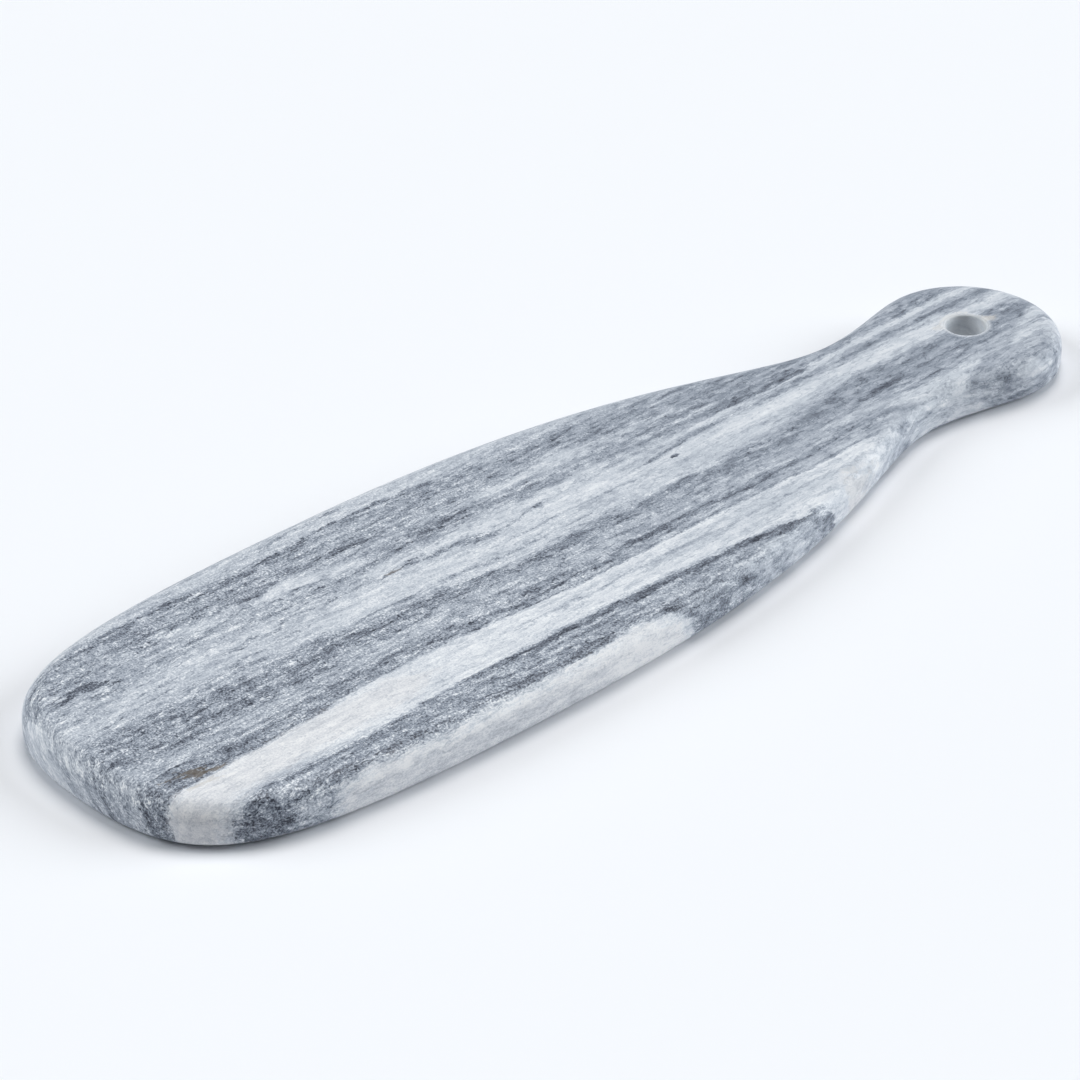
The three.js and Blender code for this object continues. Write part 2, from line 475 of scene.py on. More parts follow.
WHITE_VEINS = (
    vein("main white vein", Tone.SNOW, 2.4, 2.0, 0.97,
         (0, -44, 12.5), (8, -43, 10.5), (20, -42, 9.1), (40, -40.8, 8.7), (70, -39.3, 9.2),
         (100, -38.4, 10.6), (125, -37.8, 10.3), (140, -37.8, 9.4), (160, -37.9, 8.8), (200, -38.9, 8.1),
         (230, -39.5, 8.5), (255, -40.8, 9.4), (275, -42.2, 10.6), (300, -45, 14), (316, -46, 13.5),
         (328, -46, 9), (336, -45, 4), (342, -44, -3), (450, -40, -4)),
    vein("soft tip of the main vein", Tone.SNOW, 5.0, 2.5, 0.8,
         (300, -38, -3), (312, -37.5, 5), (326, -38, 7), (338, -37.5, 6.5), (345, -36, 4), (351, -34, -4)),
    vein("grey veil in the main vein", Tone.MIST, 5.0, 4.0, 0.55,
         (150, -37, -3), (165, -37.5, 1), (200, -37.5, 2), (220, -38, 4), (245, -39.5, 6.5),
         (262, -40.5, 7), (280, -41, 6), (300, -41, 4), (316, -41, 3.5), (330, -40, -3), (450, -38, -4)),
    vein("grey fringe of the main vein", Tone.MIST, 3.0, 3.5, 0.7,
         (12, -50, -3), (22, -49.5, 1.5), (35, -48.3, 2.4), (50, -48, 2.0), (66, -48.5, 0.8),
         (84, -49, -2)),
    vein("pale front face", Tone.MILK, 6.0, 4.0, 0.85,
         (0, 40, 17), (5, 40, 15), (10, 40, -4)),
    # Pale band along the far rounding: partly paler stone and partly a painted highlight where the rounding
    # faces the light from behind
    vein("far pale rim with painted highlight", Tone.PEARL, 2.5, 2.0, 0.75,
         (0, 62, 2), (12, 57, 3), (25, 58, 4), (50, 60, 6.5), (80, 62.5, 7.5), (120, 62, 7.8),
         (160, 61, 7.5), (200, 59, 6.2), (240, 57, 3.6), (270, 54, 1.5), (300, 49, -3), (450, 47, -4)),
    vein("near white band", Tone.SNOW, 3.0, 2.0, 0.9,
         (44, -66, -3), (54, -65.5, 2.6), (66, -66, 3.5), (80, -68, 4.5), (100, -69.8, 5.4),
         (120, -70, 5.8), (150, -70.2, 6.3), (164, -70.4, 6.3), (178, -69.3, 6.6), (192, -69.5, 6.6),
         (197, -70.4, 6.6), (201, -72.3, 6.6), (205, -74.5, 6.6), (209, -77, 6.6), (214, -80, 5),
         (220, -82, -3)),
    vein("bright layer of the near white band", Tone.CHALK, 4.0, 3.0, 0.9,
         (88, -67, -3), (108, -67, 1.5), (140, -66.8, 2.4), (165, -67.6, 3.4), (178, -68.4, 5.4),
         (190, -70, 6), (198, -71.8, 6), (204, -75, 6), (209, -78, 5), (216, -81, -3), (450, -82, -4)),
    vein("near grey band", Tone.PEARL, 3.0, 3.0, 0.55,
         (26, -68, -3), (38, -68, 5), (60, -70, 6.5), (95, -72, 4.3), (130, -72.6, 4.2), (158, -73.2, 4),
         (174, -74.5, 2.6), (188, -76, -3)),
    vein("pale blotches in the front corner", Tone.MIST, 2.5, 3.5, 0.75,
         (32, -63, -2), (38, -62, 1.5), (43, -60.5, 1.8), (48, -62, 1), (55, -63, -2)),
    vein("pale patch on the near side", Tone.MILK, 2.0, 3.0, 0.75,
         (228, -60.5, -2), (235, -60, 1.4), (239, -60, 1.8), (244, -61.5, 1.2), (248, -62.8, 1.6),
         (254, -63, -2)),
    vein("pale end of the near side", Tone.MILK, 3.5, 3.5, 0.75,
         (248, -57, -2.5), (256, -57.5, 2), (262, -59, 3.2), (268, -60.3, 3), (275, -61.5, -2.5),
         (450, -61, -4)),
    vein("bright crease of the near side", Tone.CHALK, 1.0, 1.2, 0.65,
         (48, -61.5, -1), (62, -64.5, 0.5), (80, -66.2, 0.7), (100, -66.9, 0.8), (130, -67.6, 0.8),
         (150, -68.1, 0.7), (170, -68.6, 0.4), (182, -68.8, -1), (450, -68, -4)),
    vein("light lens by the middle", Tone.MILK, 4.0, 3.0, 0.9,
         (106, 8, -3), (120, 7, 4), (140, 7.5, 5.5), (160, 7, 4.5), (178, 5, 3), (190, 4, 2), (200, 9, 3),
         (215, 10, 4.5), (235, 10, 4.5), (252, 9, 2), (262, 8, -3)),
    vein("bright core of the lens", Tone.SNOW, 3.0, 2.5, 0.7,
         (208, 10, -2), (220, 10.5, 2), (230, 10.5, 2.6), (242, 10, 1.5), (250, 9, -2)),
    vein("light lens at the shoulder", Tone.MILK, 2.5, 2.0, 0.85,
         (246, 6, -3), (268, 6.5, 2.6), (290, 7.2, 4), (315, 7.2, 3.6), (335, 7.4, 2.4), (352, 7.2, 3.2),
         (380, 6.6, 4.4), (402, 6.6, 4.2), (414, 8, 3), (426, 6.5, 1.8), (436, 6, 2.2), (450, 6, 2)),
    vein("light strip under the middle", Tone.PEARL, 3.0, 3.0, 0.75,
         (155, -2, -3), (172, -3, 2), (190, -4, 2.5), (215, -1.5, 2.6), (240, -1, 4), (270, -3, 2.5),
         (300, -2, 2.6), (318, -2, 1), (330, -2, -3), (450, 0, -4)),
    vein("bright cloud", Tone.SNOW, 4.0, 3.0, 0.75,
         (98, 33, -3), (108, 34.5, 2.5), (116, 35, 3.2), (124, 33.5, 2.8), (134, 31, 2.8), (142, 29.5, 2),
         (151, 29, -3)),
    vein("faint front cloud", Tone.MILK, 4.0, 3.0, 0.75,
         (54, 39, -3), (68, 38.5, 1.5), (76, 36, 2.8), (86, 33.5, 1.8), (98, 32, -3)),
    vein("faint rear cloud", Tone.MILK, 3.0, 3.0, 0.8,
         (188, 32, -3), (203, 33, 1.6), (225, 33.3, 2.6), (240, 33.5, 2.8), (258, 31.5, 1.4),
         (282, 30, 0.6), (305, 29, -3), (450, 27, -4)),
    vein("cloud over the middle", Tone.MILK, 4.0, 3.5, 0.85,
         (134, 22, -3), (150, 20.5, 2.5), (166, 19, 2), (180, 19, 3.2), (195, 19, 4.2), (208, 17.5, 2.5),
         (222, 18.5, 2), (240, 20, 2.2), (258, 19, -3)),
    vein("light strip in the far zone", Tone.MIST, 2.5, 2.0, 0.7,
         (130, 48, -2), (145, 48, 1.2), (160, 47.5, 1.2), (180, 47, 0.8), (195, 46, -2)),
    vein("light thread to the handle", Tone.MILK, 1.2, 1.0, 0.85,
         (262, 15, -2), (280, 15.5, 0.9), (310, 15.5, 0.9), (345, 17, 1.1), (380, 19, 1.4), (440, 19, 1.3),
         (450, 19, 1)),
    vein("light patch on the grip", Tone.SNOW, 3.5, 3.0, 0.72,
         (346, -22, -3), (356, -22, 2.2), (366, -22.5, 3.2), (376, -22.5, 3.4), (386, -22.3, 2.8),
         (396, -20.8, 1.4), (406, -20, -2), (430, -22, -3), (450, -20, -3)),
    vein("pale tip of the grip", Tone.MILK, 5.0, 4.0, 0.8,
         (410, -23, -3), (424, -20, 4), (436, -16, 7), (444, -10, 9), (450, -7, 9)),
    vein("light side of the neck", Tone.MILK, 6.0, 4.0, 0.6,
         (350, -25, -4), (361, -25, 4), (370, -25, 4.5), (378, -25, 3), (386, -26, -4)),
    vein("pale near side of the grip", Tone.PEARL, 6.0, 3.5, 0.65,
         (394, -36, -5), (403, -34, 2), (410, -33.5, 3.4), (418, -33.5, 3.4), (426, -32.5, 2.5),
         (433, -29, 1), (440, -26, -4)),
)

DARK_VEINS = (
    vein("far dark line", Tone.GRAPHITE, 1.2, 1.2, 0.85,
         (28, 48.5, -1), (38, 49.5, 0.6), (48, 50, 1.2), (56, 51, 2.2), (62, 52, 1.4), (70, 53, 0.3),
         (80, 53, 1.0), (92, 52, 0.2), (108, 50.5, 0.9), (122, 51, 0.9), (132, 51.5, 1.3), (150, 54, 0.6),
         (168, 54, 0.4), (180, 53, 0.8), (187, 53, 1.8), (193, 52.5, 1.0), (204, 52, -1)),
    vein("dark streak in the far rim", Tone.STEEL, 0.8, 1.0, 0.85,
         (110, 57, -1), (125, 57.5, 0.5), (134, 59.5, 0.6), (150, 60, 0.6), (160, 60.5, 0.8),
         (168, 60, -1)),
    vein("far inner line", Tone.SLATE, 1.2, 1.2, 0.8,
         (150, 45, -1), (162, 45, 0.9), (175, 44, 0.9), (190, 42.5, 0.9), (200, 41.5, 0.5),
         (212, 40.5, 1.0), (224, 43, 1.3), (232, 43, 0.6), (245, 41, 1.0), (262, 39, 1.2), (285, 38.5, 1.0),
         (305, 38, 0.6), (315, 37, -1)),
    vein("thin far line", Tone.SLATE, 0.8, 0.8, 0.8,
         (194, 35.5, -1), (205, 35.5, 0.5), (216, 35, 0.8), (230, 36, 0.5), (244, 36.5, -1), (450, 36, -4)),
    vein("far blotch", Tone.GRAPHITE, 1.2, 1.5, 0.8,
         (130, 39.5, -1), (138, 40, 1.0), (144, 39.3, 1.2), (152, 38.3, 0.8), (158, 38, -1)),
    vein("blotch and tail", Tone.GRAPHITE, 1.2, 1.5, 0.8,
         (52, 37, -1), (59, 38, 1.0), (65, 38.5, 0.6), (75, 41, 0.5), (90, 39.5, 0.5), (99, 38, 1.6),
         (105, 37.5, 1.8), (110, 38.5, 0.6), (124, 41, 0.4), (132, 41, -1)),
    vein("front blotch", Tone.INK, 1.8, 3.4, 0.85,
         (10, 32.5, -2), (17, 32, 0.8), (20, 31.5, 1.4), (24, 33, 0.8), (29, 32, 2.6), (34, 30.5, 1.6),
         (39, 29, 0.4), (46, 28, -2)),
    vein("front fleck", Tone.GRAPHITE, 1.0, 1.2, 0.8,
         (24, 26, -1), (30, 25.5, 1.0), (35, 25, 0.6), (40, 25, -1)),
    vein("line under the front cloud", Tone.STEEL, 1.2, 1.2, 0.8,
         (60, 31, -1), (70, 30, 1.0), (76, 30, 1.2), (84, 31.5, 0.6), (92, 33, 0.6), (98, 34.5, 0.8),
         (104, 36, -1)),
    vein("patch over the middle", Tone.SLATE, 2.5, 3.5, 0.9,
         (156, 27, -2), (166, 27.5, 2), (174, 29, 4), (183, 29, 3.8), (190, 29, 2), (200, 27.5, 1.2),
         (212, 26, 3.0), (220, 26.5, 1.8), (230, 26, -2)),
    vein("core of the patch", Tone.GRAPHITE, 1.5, 3.2, 0.9,
         (163, 27, -1.5), (170, 28, 1.8), (177, 29.5, 1.2), (184, 29, 2.4), (189, 29.3, 1.9),
         (196, 28.5, -1.5), (450, 28, -4)),
    vein("line over the light zone", Tone.SLATE, 1.2, 1.6, 0.8,
         (84, 25.5, -1.5), (92, 25.5, 0.7), (100, 25, 0.7), (112, 25.5, 0.9), (122, 26, 1.2),
         (128, 25.5, 0.5), (140, 25, 1.0), (150, 25.5, 1.2), (160, 27, -1.5)),
    vein("dark streak in the light zone", Tone.SLATE, 1.4, 2.4, 0.85,
         (126, 16, -2), (134, 18, 0.6), (141, 16.5, -0.2), (150, 17, 0.8), (160, 17, 0.9), (166, 16, 1.2),
         (172, 15, 0.8), (178, 14.5, 2.0), (184, 13.3, 1.8), (190, 12.2, 0.6), (200, 13, 0.2),
         (210, 15, 0.6), (222, 16, -2)),
    vein("dark dot", Tone.INK, 0.9, 0.4, 0.85,
         (266, 6.4, -1.6), (270, 6.5, 1.1), (274, 6.6, -1.6), (450, 7, -4)),
    vein("front thread", Tone.STEEL, 0.7, 0.8, 0.75,
         (6, 9, -1), (14, 10, 0.4), (30, 11, 0.5), (46, 13, 0.4), (56, 14, -1)),
    vein("second front thread", Tone.STEEL, 0.8, 0.8, 0.75,
         (34, 16.5, -1), (42, 17, 0.6), (50, 16.5, 0.6), (60, 16, -1)),
    vein("third front thread", Tone.STEEL, 1.0, 1.6, 0.8,
         (66, 17, -1.5), (80, 17, 0.9), (86, 18, 1.1), (94, 16, 0.6), (104, 19.5, 0.9), (114, 18, 0.7),
         (126, 18, 0.6), (136, 18, -1.5)),
    vein("streak over the central band", Tone.STEEL, 1.5, 1.5, 0.8,
         (48, 10, -1), (56, 9.5, 0.6), (64, 7.2, 1.1), (73, 7.8, 1.4), (80, 6.5, 0.7), (88, 6, -1)),
    vein("dash over the central band", Tone.STEEL, 0.7, 0.8, 0.7,
         (66, 10, -1), (76, 10.3, 0.5), (84, 10, 0.5), (94, 10.8, 0.3), (103, 11, 0.6), (110, 11, -1)),
    vein("thread through the light lens", Tone.STEEL, 0.6, 0.6, 0.8,
         (104, 0, -0.8), (112, 0.8, 0.4), (128, 2, 0.4), (140, 1, 0.6), (148, 2, 0.1), (158, 1.5, 0.6),
         (172, 0, 0.5), (182, -1, 0.6), (196, -1, 0.4), (206, -1, 0.0), (218, -1.5, 0.5), (226, -1, -0.8),
         (450, 0, -4)),
    vein("second thread through the light lens", Tone.ASH, 0.7, 0.7, 0.8,
         (184, 5, -1), (196, 5.5, 0.5), (210, 5.5, 0.4), (222, 5, 0.2), (236, 5, 0.5), (246, 4, 0.4),
         (254, 3.5, -1), (450, 4, -4)),
    vein("thread by the shoulder", Tone.SLATE, 0.9, 1.0, 0.85,
         (238, 8.5, -1.5), (258, 9.5, 0.3), (270, 10.8, 0.9), (282, 12.8, 0.9), (300, 13, 0.8),
         (330, 12.5, 0.8), (350, 13.5, 0.8), (370, 14, 1.2), (400, 14.2, 1.1), (440, 13.5, 1.0),
         (450, 13.5, 1)),
    vein("shoulder patch", Tone.SLATE, 3.0, 3.4, 0.9,
         (290, 19, -2), (304, 20, 2.4), (318, 20.5, 3.8), (328, 20, 3.8), (340, 18.8, 3), (347, 18, 1.8),
         (358, 17, -2)),
    vein("core of the shoulder patch", Tone.GRAPHITE, 1.5, 2.4, 0.8,
         (300, 18, -1.5), (308, 18.5, 0.9), (318, 18.8, 1.2), (328, 18.3, 1.0), (338, 18.5, 1.6),
         (345, 18, 0.8), (352, 17, -1.5)),
    vein("far side of the grip", Tone.STEEL, 2.0, 2.0, 0.8,
         (340, 25, -2), (360, 24, 1), (385, 24, 1.5), (400, 25, 2.2), (420, 25, 2.2), (440, 22, 1.5),
         (450, 21, 1)),
    vein("blotches on the far side of the grip", Tone.GRAPHITE, 1.2, 1.3, 0.7,
         (397, 21.5, -1), (403, 22, 1.4), (407, 22.6, 0.4), (412, 24, 1.3), (418, 25, -1)),
    vein("blotch on the handle", Tone.INK, 1.5, 1.5, 0.7,
         (350, -9, -1), (356, -9.5, 1.0), (361, -10, 1.8), (366, -10, 1.0), (372, -9.5, -1), (450, -9, -4)),
    vein("dash on the handle", Tone.GRAPHITE, 1.2, 1.2, 0.8,
         (358, -17, -1.5), (367, -18, 1.4), (374, -17.8, 1.3), (381, -16.8, 1.0), (390, -16, -1.5)),
    vein("top edge of the central band", Tone.SLATE, 1.0, 1.2, 0.8,
         (4, 5, -1), (14, 4.5, 0.8), (30, 5, 0.7), (44, 4.5, 0.6), (54, 1.5, 0.6), (64, 1, 0.6),
         (80, 2.2, 0.6), (100, 2, 0.8), (108, 0, -1)),
    vein("line in the central band", Tone.GRAPHITE, 1.0, 1.2, 0.7,
         (30, -9, -1), (45, -8.5, 0.7), (60, -7.5, 0.6), (78, -8, 0.5), (92, -5, 0.9), (106, -4, 0.9),
         (118, -6, 0.4), (138, -4, 0.8), (148, -3.8, 1.0), (160, -4.5, 0.6), (170, -5.5, 0.8),
         (178, -7, -1)),
    vein("rear of the central band", Tone.SLATE, 1.5, 1.5, 0.8,
         (180, -10, -1), (190, -10.5, 1.2), (205, -9.5, 1.2), (220, -7.5, 1.0), (235, -10, 1.4),
         (250, -9, 1.2), (270, -9, 1.2), (300, -9.5, 1.6), (325, -8, 1.2), (345, -4, 2.2), (358, -8, 2.2),
         (368, -10, 1.2), (380, -9, -1), (450, -8, -4)),
    vein("lower streak", Tone.STEEL, 1.2, 1.2, 0.75,
         (140, -16.5, -1), (152, -17, 1.6), (172, -18.5, 1.7), (184, -18, 1.6), (200, -17.5, 1.5),
         (212, -17, 1.4), (226, -17.8, 1.5), (245, -16, 1.4), (262, -16, 1.0), (290, -17, 1.2),
         (320, -15, 0.9), (350, -16, 1.0), (366, -17.5, 1.2), (385, -18, 1.0), (410, -16.5, 1.2),
         (440, -15, 1.2), (450, -14, 1)),
    vein("line over the main vein", Tone.GRAPHITE, 0.9, 1.0, 0.75,
         (36, -27, -1), (53, -26, 1.0), (62, -25.5, 0.3), (76, -22.5, 0.6), (93, -21.3, 0.9),
         (108, -21.5, 0.7), (124, -20.8, 0.8), (140, -21.5, 0.3), (154, -25, 0.6), (168, -27.5, 0.9),
         (190, -26, 0.8), (202, -27, 0.9), (216, -24.5, 1.3), (226, -24.5, 1.0), (240, -24.5, 0.9),
         (256, -25.5, 0.6), (280, -26, 0.8), (310, -25, 0.6), (335, -24, -1)),
    vein("edge line of the main vein", Tone.SLATE, 1.0, 1.5, 0.85,
         (0, -32, 2.2), (14, -32, 1.3), (40, -30.2, 1.6), (58, -29, 2.2), (74, -28.4, 1.5), (90, -27, 1.0),
         (110, -26.4, 0.4), (150, -28, 0.4), (180, -30.2, 0.6), (230, -30.8, 0.7), (270, -31, 0.6),
         (300, -31.5, 0.6), (326, -30.5, 0.5), (345, -30, -1)),
    vein("grey thread in the main vein", Tone.SMOKE, 1.0, 1.2, 0.7,
         (150, -36, -1), (165, -37.5, 0.7), (185, -38, 0.3), (200, -37.5, 0.4), (235, -38.5, 0.7),
         (250, -39.5, 1.0), (262, -39.3, 0.9), (275, -38.8, 0.4), (290, -38.5, 0.6), (302, -38, -1),
         (450, -40, -4)),
    vein("upper contour of the shoulder", Tone.SMOKE, 1.2, 0.8, 0.45,
         (262, -34, -1), (280, -34.5, 0.4), (300, -35, 0.6), (322, -34.2, 0.8), (338, -32.8, 0.8),
         (345, -32, 0.8), (352, -31, -1)),
    vein("lower contour of the shoulder", Tone.MIST, 1.2, 1.0, 0.45,
         (296, -39, -1), (308, -38.5, 0.6), (322, -37, 0.6), (334, -35, 0.6), (342, -34, 0.6),
         (348, -33.5, -1), (450, -33, -4)),
    vein("dark top of the near zone", Tone.INK, 1.6, 1.6, 0.75,
         (106, -48.6, -1.5), (118, -48.5, 0.5), (130, -48.6, 1.0), (150, -49, 1.4), (180, -49.2, 1.5),
         (200, -50, 1.7), (230, -50.6, 1.6), (245, -51.4, 1.2), (258, -53, 1.5), (270, -53.6, 1.1),
         (279, -54, -1), (450, -50, -4)),
    vein("dark tip of the near zone", Tone.GRAPHITE, 3.0, 2.5, 0.8,
         (262, -53.5, -1.5), (272, -53.6, 1.0), (280, -54, 1.8), (286, -54.8, 2.2), (290, -56, 1.6),
         (296, -58, -2)),
    vein("front top of the near zone", Tone.SLATE, 1.5, 1.5, 0.8,
         (14, -54, -2), (22, -53, 1.5), (32, -51, 1.4), (50, -50.5, 1.0), (70, -51.5, 0.8),
         (90, -50.5, 0.8), (108, -48.5, 0.8), (118, -48, -1)),
    vein("dark foot of the near zone", Tone.GRAPHITE, 1.6, 2.6, 0.75,
         (36, -58, -1.5), (52, -58.5, 0.3), (70, -60, 0.6), (90, -61, 0.5), (120, -61.7, 1.0),
         (146, -61.2, 1.7), (162, -61, 2.2), (176, -59.3, 2.0), (188, -59.4, 1.8), (196, -60.8, 1.4),
         (203, -64, 1.2), (209, -67.5, 0.9), (215, -70, 0.4), (222, -73, -1.5), (450, -72, -4)),
    vein("dark end of the near side", Tone.SLATE, 4.0, 4.5, 0.6,
         (198, -62, -3), (206, -63, 2), (214, -64.5, 3.4), (222, -65.5, 4.2), (230, -65.5, 3.8),
         (237, -65, 2), (243, -65, -3)),
    vein("dark lens of the near side", Tone.GRAPHITE, 3.0, 3.0, 0.6,
         (219, -66.5, -3), (226, -66, 2.2), (232, -65.6, 2.8), (238, -65, 2.2), (245, -64.5, -3),
         (450, -64, -4)),
    vein("dark front corner", Tone.GRAPHITE, 2.5, 3.0, 0.85,
         (6, -58, -3), (13, -57, 2), (22, -56.5, 5.5), (28, -58, 6), (34, -60, 5), (38, -62, 2),
         (43, -63, -3)),
    vein("dark swirl on the grip", Tone.SLATE, 3.5, 4.0, 0.5,
         (384, -26.5, -5), (390, -28, 1.2), (396, -29, 1.6), (402, -29.6, 1.8), (410, -29.6, 1.6),
         (418, -29.6, 1.6), (426, -29, 1.4), (434, -27.5, -4), (450, -26, -4)),
    vein("dark streak on the neck", Tone.SLATE, 3.5, 3.5, 0.6,
         (346, -29.5, -3), (357, -27.5, 1.2), (366, -26, 1.8), (375, -25, 1), (386, -24, -3)),
    vein("dark streak on the grip", Tone.STEEL, 2.5, 3.0, 0.75,
         (400, -24, -3), (410, -23.5, 1.2), (418, -23.5, 1.5), (428, -23, 1.4), (437, -20, -3),
         (450, -18, -4)),
    vein("dark spot on the grip", Tone.GRAPHITE, 2.0, 2.5, 0.25,
         (392, -28.5, -2.5), (398, -29, 1.2), (403, -29, 1), (409, -28.6, -2.5), (450, -28, -4)),
    vein("grey side of the neck", Tone.SMOKE, 4.0, 4.0, 0.7,
         (338, -31, -4), (348, -28.5, 3.5), (355, -26.5, 4), (364, -25, -4)),
    vein("patch behind the hole", Tone.SLATE, 2.5, 2.5, 0.7,
         (422, -2, -2), (430, -2, 3), (440, -3, 4), (450, -3, 4)),
)

VEINS = ZONES + WHITE_VEINS + DARK_VEINS

STAINS = (
    stain("brown seep", (92, 83, 72), 1.6, 3.0, 0.85,
          (10, -25.5, -1.5), (17, -26.5, 0.8), (24, -28.6, 1.7), (29, -30.4, 1.1), (37, -31.5, -1.5),
          (450, -31, -4)),
    stain("faint seep", (186, 180, 170), 1.6, 1.5, 0.5,
          (14, -34, -1), (20, -34.2, 0.8), (26, -35.2, 0.8), (32, -36, -1)),
    stain("brown dash", (116, 108, 100), 0.8, 0.8, 0.6,
          (141, 17, -1), (145, 17, 0.5), (150, 17, 0.6), (154, 17.2, -1), (450, 17, -4)),
    stain("cream front of the main vein", (228, 222, 219), 6.0, 4.0, 0.25,
          (0, -43, 9), (30, -40, 7), (70, -38, 7), (100, -37, 6), (128, -37, -3)),
    stain("cream near side", (226, 220, 217), 5.0, 4.0, 0.22,
          (44, -69, -3), (60, -69.5, 6), (100, -72, 6), (160, -72, 6), (180, -70.5, 6), (197, -73.5, 6),
          (208, -79, 5), (216, -80, -3)),
    stain("cream shoulder", (218, 214, 211), 5.0, 4.0, 0.4,
          (298, -46, -3), (308, -47, 5), (318, -46.5, 6), (327, -45, 4), (335, -44, -3)),
    stain("cream over the hole", (224, 216, 204), 2.0, 2.0, 0.3,
          (402, 5, -1.5), (406, 5.5, 1.4), (411, 8, 0.8), (418, 8.2, 0.8), (424, 5.5, -1.5), (450, 5, -4)),
    stain("cream beside the hole", (226, 217, 204), 2.2, 1.5, 0.42,
          (418, -1, -1), (423, -2, 2.4), (426, -3, 1.4), (430, -3.5, -1), (450, -4, -4)),
)

TEXTURES = (
    Texture("drifts", Pattern.CLOUD, 60.0, 9.0, 2.0, 0.24, 0.5, 1.0),
    Texture("streaks", Pattern.CLOUD, 24.0, 2.4, 3.0, 0.58, 0.4, 0.95),
    Texture("lenses", Pattern.CLOUD, 7.0, 2.2, 3.0, 0.70, 0.3, 0.55),
    Texture("blotches", Pattern.FLECK, 11.0, 2.2, 3.0, -0.20, 0.4, 0.6),
    Texture("fibres", Pattern.CLOUD, 3.5, 0.8, 2.0, 0.42, 0.35, 0.15),
    Texture("wisps", Pattern.THREAD, 14.0, 3.0, 2.0, -0.13, 0.6, 1.0),
    Texture("flecks", Pattern.FLECK, 5.0, 1.2, 2.0, -0.24, 0.3, 0.6),
    Texture("chips", Pattern.FLECK, 3.0, 0.9, 1.0, 0.12, 0.0, 0.2),
)

MOTTLES = Texture("mottles", Pattern.CLOUD, 7.0, 4.0, 3.0, 0.85, 0.35, 1.0)

GRAIN = Texture("grain", Pattern.CLOUD, 0.8, 0.55, 1.0, 1.08, 0.28, 0.2)


